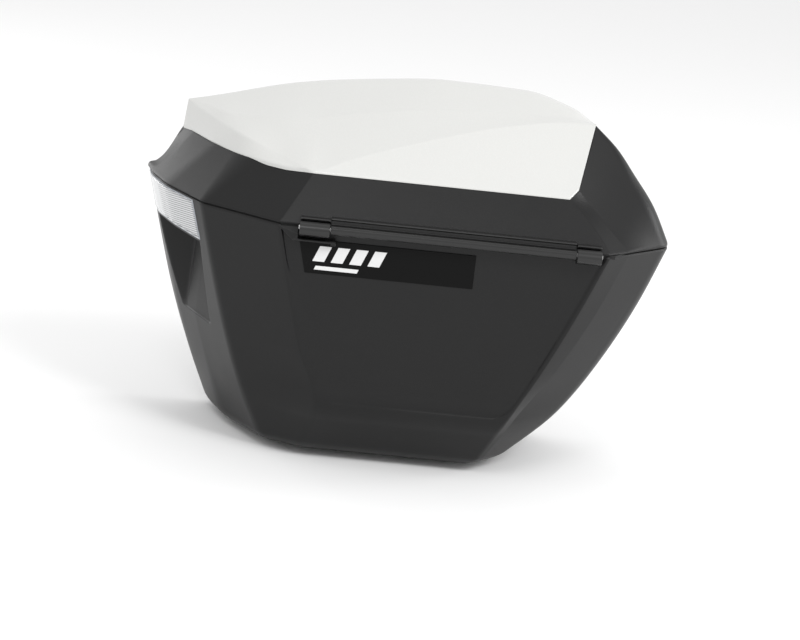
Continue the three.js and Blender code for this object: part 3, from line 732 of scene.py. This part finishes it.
def build_mark():
    """A plain row of slanted bars over a thin one, in the place of lettering."""
    outlines = {}
    for i, left in enumerate(MARK_LEFT_EDGES):
        outlines[f"mark_{i}"] = slanted_box(left, left + MARK_WIDTH, -33, -18, 6)
    outlines["mark_under"] = slanted_box(-76, -36, -41, -37.2, 1.5)
    pieces = [flat_piece(name, outline, MARK_LOW, MARK_HIGH, 0.2) for name, outline in outlines.items()]
    return merged("plate_mark", pieces)


# ---- Materials ----
def new_material(name):
    material = bpy.data.materials.new(name)
    material.use_nodes = True
    nodes, links = material.node_tree.nodes, material.node_tree.links
    return material, nodes, links, nodes["Principled BSDF"]


def set_inputs(node, **values):
    """Set a node's inputs; a name has _ for each space in the input's own name."""
    for name, value in values.items():
        node.inputs[name.replace("_", " ")].default_value = value
    return node


def add_node(nodes, kind, **values):
    return set_inputs(nodes.new("ShaderNode" + kind), **values)


def grey(level):
    return (level, level, level)


def grained_plastic(name, dark, light, roughness, grain, grain_scale=900, sheen=0.3):
    """Moulded plastic: a fine spark-eroded grain, faint cloudy colour and rubbed edges."""
    material, nodes, links, shader = new_material(name)
    coords = nodes.new("ShaderNodeTexCoord")
    cloud = add_node(nodes, "TexNoise", Scale=14, Detail=6)
    fine = add_node(nodes, "TexNoise", Scale=grain_scale, Detail=3)
    colour = add_node(nodes, "MixRGB", Color1=(*dark, 1), Color2=(*light, 1))
    mottle = nodes.new("ShaderNodeMath")
    mottle.operation = "MULTIPLY_ADD"
    mottle.inputs[1].default_value = 0.6
    mottle.inputs[2].default_value = 0.1
    edges = nodes.new("ShaderNodeNewGeometry")
    rubbed = add_node(nodes, "MapRange", From_Min=0.52, From_Max=0.62, To_Max=0.5)
    worn = add_node(nodes, "MixRGB", Color2=(*[min(1.0, 2.2 * c) for c in light], 1))
    rough = add_node(nodes, "MapRange", To_Min=roughness - 0.06, To_Max=roughness + 0.06)
    bump = add_node(nodes, "Bump", Strength=grain, Distance=0.0002)
    for texture in (cloud, fine):
        links.new(coords.outputs["Object"], texture.inputs["Vector"])
    links.new(cloud.outputs["Fac"], mottle.inputs[0])
    links.new(mottle.outputs[0], colour.inputs["Fac"])
    links.new(edges.outputs["Pointiness"], rubbed.inputs["Value"])
    links.new(rubbed.outputs["Result"], worn.inputs["Fac"])
    links.new(colour.outputs["Color"], worn.inputs["Color1"])
    links.new(worn.outputs["Color"], shader.inputs["Base Color"])
    links.new(cloud.outputs["Fac"], rough.inputs["Value"])
    links.new(rough.outputs["Result"], shader.inputs["Roughness"])
    links.new(fine.outputs["Fac"], bump.inputs["Height"])
    links.new(bump.outputs["Normal"], shader.inputs["Normal"])
    set_inputs(shader, Specular_IOR_Level=sheen)
    return material


RIBS_FADE_PAINTED_LIGHT = (0.050, 0.040)  # y in metres where the ribs are gone and the lens is painted plain bright, and where they are whole


def prism_lens(name):
    """Clear reflector plastic over its prisms: fine slanting dark ribs, faded out towards the back as painted
    light, so that the back of the lens is painted brighter than its front.
    """
    material, nodes, links, shader = new_material(name)
    coords = nodes.new("ShaderNodeTexCoord")
    turn = add_node(nodes, "Mapping", Rotation=(math.radians(8), 0, 0))
    ribs = add_node(nodes, "TexWave", Scale=150, Distortion=0.3)
    ribs.wave_type = "BANDS"
    ribs.bands_direction = "Z"
    split = nodes.new("ShaderNodeSeparateXYZ")
    # painted light: the ribs fade out towards the back, leaving the back of the lens painted plain bright
    painted_light_fade = add_node(nodes, "MapRange", From_Min=RIBS_FADE_PAINTED_LIGHT[0], From_Max=RIBS_FADE_PAINTED_LIGHT[1])
    strength = nodes.new("ShaderNodeMath")
    strength.operation = "MULTIPLY"
    tint = add_node(nodes, "MixRGB", Color1=(0.62, 0.63, 0.64, 1), Color2=(0.17, 0.175, 0.185, 1))
    bump = add_node(nodes, "Bump", Strength=0.35, Distance=0.0004)
    links.new(coords.outputs["Object"], turn.inputs["Vector"])
    links.new(turn.outputs["Vector"], ribs.inputs["Vector"])
    links.new(coords.outputs["Object"], split.inputs["Vector"])
    links.new(split.outputs["Y"], painted_light_fade.inputs["Value"])
    links.new(ribs.outputs["Fac"], strength.inputs[0])
    links.new(painted_light_fade.outputs["Result"], strength.inputs[1])
    links.new(strength.outputs[0], tint.inputs["Fac"])
    links.new(tint.outputs["Color"], shader.inputs["Base Color"])
    links.new(strength.outputs[0], bump.inputs["Height"])
    links.new(bump.outputs["Normal"], shader.inputs["Normal"])
    set_inputs(shader, Roughness=0.22, Coat_Weight=0.5, Coat_Roughness=0.05)
    return material


def pearl_paint(name):
    """White pearl lacquer: fine mica sparkle under a clear coat with a slight orange peel."""
    material, nodes, links, shader = new_material(name)
    coords = nodes.new("ShaderNodeTexCoord")
    mica = add_node(nodes, "TexVoronoi", Scale=1400)
    tint = add_node(nodes, "MixRGB", Color1=(0.555, 0.558, 0.541, 1), Color2=(0.610, 0.610, 0.595, 1))
    peel = add_node(nodes, "TexNoise", Scale=160)
    bump = add_node(nodes, "Bump", Strength=0.04, Distance=0.0002)
    for texture in (mica, peel):
        links.new(coords.outputs["Object"], texture.inputs["Vector"])
    links.new(mica.outputs["Distance"], tint.inputs["Fac"])
    links.new(tint.outputs["Color"], shader.inputs["Base Color"])
    links.new(peel.outputs["Fac"], bump.inputs["Height"])
    links.new(bump.outputs["Normal"], shader.inputs["Coat Normal"])
    set_inputs(shader, Roughness=0.38, Coat_Weight=0.6, Coat_Roughness=0.08)
    return material


def plated_steel(name):
    """Plated steel with fine brushing along x."""
    material, nodes, links, shader = new_material(name)
    coords = nodes.new("ShaderNodeTexCoord")
    stretch = add_node(nodes, "Mapping", Scale=(40, 900, 900))
    brushed = add_node(nodes, "TexNoise", Scale=1)
    tint = add_node(nodes, "MixRGB", Color1=(0.42, 0.42, 0.43, 1), Color2=(0.62, 0.62, 0.61, 1))
    rough = add_node(nodes, "MapRange", To_Min=0.25, To_Max=0.5)
    bump = add_node(nodes, "Bump", Strength=0.1, Distance=0.0001)
    links.new(coords.outputs["Object"], stretch.inputs["Vector"])
    links.new(stretch.outputs["Vector"], brushed.inputs["Vector"])
    links.new(brushed.outputs["Fac"], tint.inputs["Fac"])
    links.new(tint.outputs["Color"], shader.inputs["Base Color"])
    links.new(brushed.outputs["Fac"], rough.inputs["Value"])
    links.new(rough.outputs["Result"], shader.inputs["Roughness"])
    links.new(brushed.outputs["Fac"], bump.inputs["Height"])
    links.new(bump.outputs["Normal"], shader.inputs["Normal"])
    set_inputs(shader, Metallic=1)
    return material


SHELL_BLACK = (0.0055, 0.0055, 0.0058)
FITTING_BLACK = (0.014, 0.014, 0.015)
FITTING_GREY = (0.021, 0.021, 0.022)
BACKING_DARK = (0.36, 0.38, 0.42)
BACKING_LIGHT = (0.44, 0.46, 0.50)
MATERIALS = {
    "tub": grained_plastic("tub_plastic", SHELL_BLACK, grey(0.0095), 0.38, 0.5, sheen=0.27),
    "lid": grained_plastic("lid_plastic", SHELL_BLACK, grey(0.0090), 0.36, 0.5, sheen=0.25),
    "hinge": grained_plastic("hinge_plastic", grey(0.008), grey(0.013), 0.32, 0.15, sheen=0.45),
    "fitting": grained_plastic("fitting_plastic", FITTING_BLACK, FITTING_GREY, 0.38, 0.2, sheen=0.4),
    "plate": grained_plastic("plate_plastic", grey(0.002), grey(0.0035), 0.5, 0.1, sheen=0.1),
    "rubber": grained_plastic("black_rubber", grey(0.008), grey(0.014), 0.75, 0.5, 500),
    "mark": grained_plastic("mark_paint", grey(0.56), grey(0.64), 0.4, 0.1, 700),
    "tray": grained_plastic("white_backing", BACKING_DARK, BACKING_LIGHT, 0.3, 0.1, 700),
    "lens": prism_lens("reflector_lens"),
    "paint": pearl_paint("pearl_paint"),
    "steel": plated_steel("plated_steel"),
}

# ---- Pieces ----
finish_piece(build_tub(), "tub", MATERIALS["tub"], "tub_plastic", "tub_shell")
finish_piece(build_hinge_seat(), "tub", MATERIALS["tub"], "tub_plastic")
finish_piece(build_cover(), "lid", MATERIALS["paint"], "white_paint", "lid_cover")
finish_piece(build_lid_frame(), "lid", MATERIALS["lid"], "lid_plastic", "lid_frame")
finish_piece(build_leaf(), "lid", MATERIALS["hinge"], "hinge_plastic", "hinge_leaf")
for side, ends in (("left", KNUCKLE_LEFT), ("right", KNUCKLE_RIGHT)):
    knuckle = build_knuckle(f"knuckle_{side}", ends)
    finish_piece(knuckle, "tub", MATERIALS["hinge"], "hinge_plastic", f"hinge_knuckle_{side}")
    finish_piece(build_wing(f"wing_{side}", *ends), "lid", MATERIALS["hinge"], "hinge_plastic")
plate = flat_piece("plate", PLATE_OUTLINE, 0, PLATE_TOP, 0.3)
finish_piece(plate, "tub", MATERIALS["plate"], "plate_plastic", "name_plate")
finish_piece(build_mark(), "tub", MATERIALS["mark"], "white_paint")
finish_piece(build_tray(), "tub", MATERIALS["tray"], "reflector_white", "reflector_housing")
finish_piece(build_lens(), "tub", MATERIALS["lens"], "reflector_clear", "reflector_lens")

# The CAD nodes that keep their shape, by material.
NODE_LOOKS = {
    "fitting": [
        "latch_base", "latch_lever", "handle_bracket_left", "handle_bracket_right", "carry_handle",
        "mount_plate", "release_housing", "release_lever",
    ],
    "rubber": ["rim_seal", "foot_1", "foot_2", "foot_3", "foot_4"],
    "steel": [
        "hinge_pin", "lid_striker", "latch_pin", "latch_hook", "hook_pin", "lock_cylinder", "release_pin",
        "release_catch", "socket_left", "socket_right", *[f"plate_screw_{i}" for i in (1, 2, 3, 4)],
    ],
}
FITTING_BEVEL = 0.7
for look, node_names in NODE_LOOKS.items():
    for node_name in node_names:
        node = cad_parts[node_name]
        node.data.materials.clear()
        node.data.materials.append(MATERIALS[look])
        if look == "fitting":
            bevelled(node, FITTING_BEVEL)


# ---- Studio, in metres in the row frame ----
FLOOR_REACH = 12
WORLD_STRENGTH = 0.92
AREA_LIGHTS = {  # place, target, width and height, watts
    "key": ((2.0, -2.0, 2.6), (0, 0, 0.2), (1.1, 1.1), 58),
    "front": ((-0.5, -1.9, 2.6), (0, 0, 0.2), (0.9, 0.9), 13),
    "left": ((-1.9, 1.9, 0.6), (-0.2, 0.1, 0.2), (0.6, 1.2), 7),
    "right": ((2.2, 0.6, 0.7), (0, 0, 0.2), (0.6, 1.2), 12),
}
CAMERA_PLACE = to_row([-47.0, -1847.8, 446.7])
CAMERA_FORWARD = (0.0288, 0.9613, -0.2741)
CAMERA_UP = (-0.1005, 0.2756, 0.9560)
SENSOR_WIDTH = 36
FOCAL_LENGTH = 93.2


def add_floor():
    """A plain pale floor with a faint cloudiness."""
    mesh = bpy.data.meshes.new("floor")
    corners = [(x * FLOOR_REACH, y * FLOOR_REACH, 0) for x, y in ((-1, -1), (1, -1), (1, 1), (-1, 1))]
    mesh.from_pydata(corners, [], [(0, 1, 2, 3)])
    floor = bpy.data.objects.new("floor", mesh)
    bpy.context.scene.collection.objects.link(floor)
    material, nodes, links, shader = new_material("floor_paint")
    dust = add_node(nodes, "TexNoise", Scale=3)
    tint = add_node(nodes, "MixRGB", Color1=(*grey(0.90), 1), Color2=(*grey(0.92), 1))
    links.new(dust.outputs["Fac"], tint.inputs["Fac"])
    links.new(tint.outputs["Color"], shader.inputs["Base Color"])
    set_inputs(shader, Roughness=0.9)
    mesh.materials.append(material)


def add_area(name, place, target, size, power):
    light = bpy.data.lights.new(name, "AREA")
    light.shape = "RECTANGLE"
    light.size, light.size_y = size
    light.energy = power
    lamp = bpy.data.objects.new(name, light)
    lamp.location = place
    lamp.rotation_mode = "QUATERNION"
    lamp.rotation_quaternion = (Vector(target) - Vector(place)).to_track_quat("-Z", "Y")
    bpy.context.scene.collection.objects.link(lamp)


def add_world():
    world = bpy.data.worlds.new("studio")
    world.use_nodes = True
    set_inputs(world.node_tree.nodes["Background"], Color=(1, 1, 1, 1), Strength=WORLD_STRENGTH)
    bpy.context.scene.world = world


def add_camera():
    forward = Vector(CAMERA_FORWARD).normalized()
    right = forward.cross(Vector(CAMERA_UP)).normalized()
    up = right.cross(forward)
    camera = bpy.data.cameras.new("camera")
    camera.sensor_width = SENSOR_WIDTH
    camera.lens = FOCAL_LENGTH
    camera.clip_end = 100
    holder = bpy.data.objects.new("camera", camera)
    turn = Matrix((right, up, -forward)).transposed()
    holder.matrix_world = Matrix.Translation(Vector(CAMERA_PLACE)) @ turn.to_4x4()
    bpy.context.scene.collection.objects.link(holder)
    bpy.context.scene.camera = holder


add_floor()
add_world()
for light_name, light_setup in AREA_LIGHTS.items():
    add_area(light_name, *light_setup)
add_camera()
bpy.context.scene.view_settings.view_transform = "Standard"
